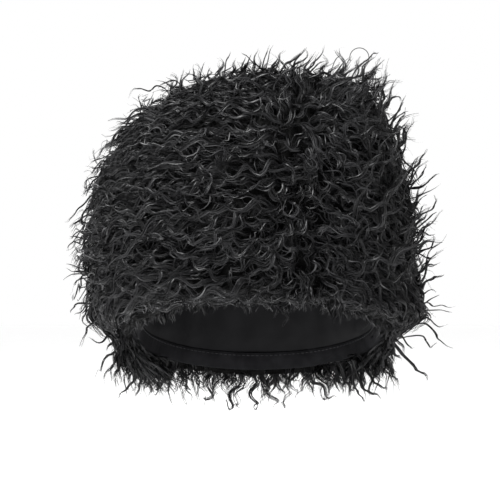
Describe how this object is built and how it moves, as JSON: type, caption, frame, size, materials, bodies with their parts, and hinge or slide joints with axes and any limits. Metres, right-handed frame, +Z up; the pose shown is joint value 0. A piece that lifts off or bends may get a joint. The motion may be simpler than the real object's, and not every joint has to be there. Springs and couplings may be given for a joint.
{
  "type": "long-haired fur hat",
  "caption": "Soft round hat of deep curly fur in locks over a hide crown, with a smooth lining, a bound hem and a nape that drops lower than the brow.",
  "frame": {"origin": "middle of the head opening at the height of the front rim, where the head holds the hat", "axes": "+Z up through the crown, -Y the way the wearer looks, +X to the wearer's left"},
  "size_m": [0.3045, 0.3177, 0.2907],
  "materials": {
    "hide": "matt suede side of a tanned hide",
    "lining": "smooth satin weave",
    "binding": "folded bias strip with a line of stitches",
    "fur": "long curly fur in locks with a soft sheen"
  },
  "bodies": {
    "root": {"crown_shell": "hide", "lining": "lining", "hem_binding": "binding", "fur": "fur"}
  },
  "joints": []
}
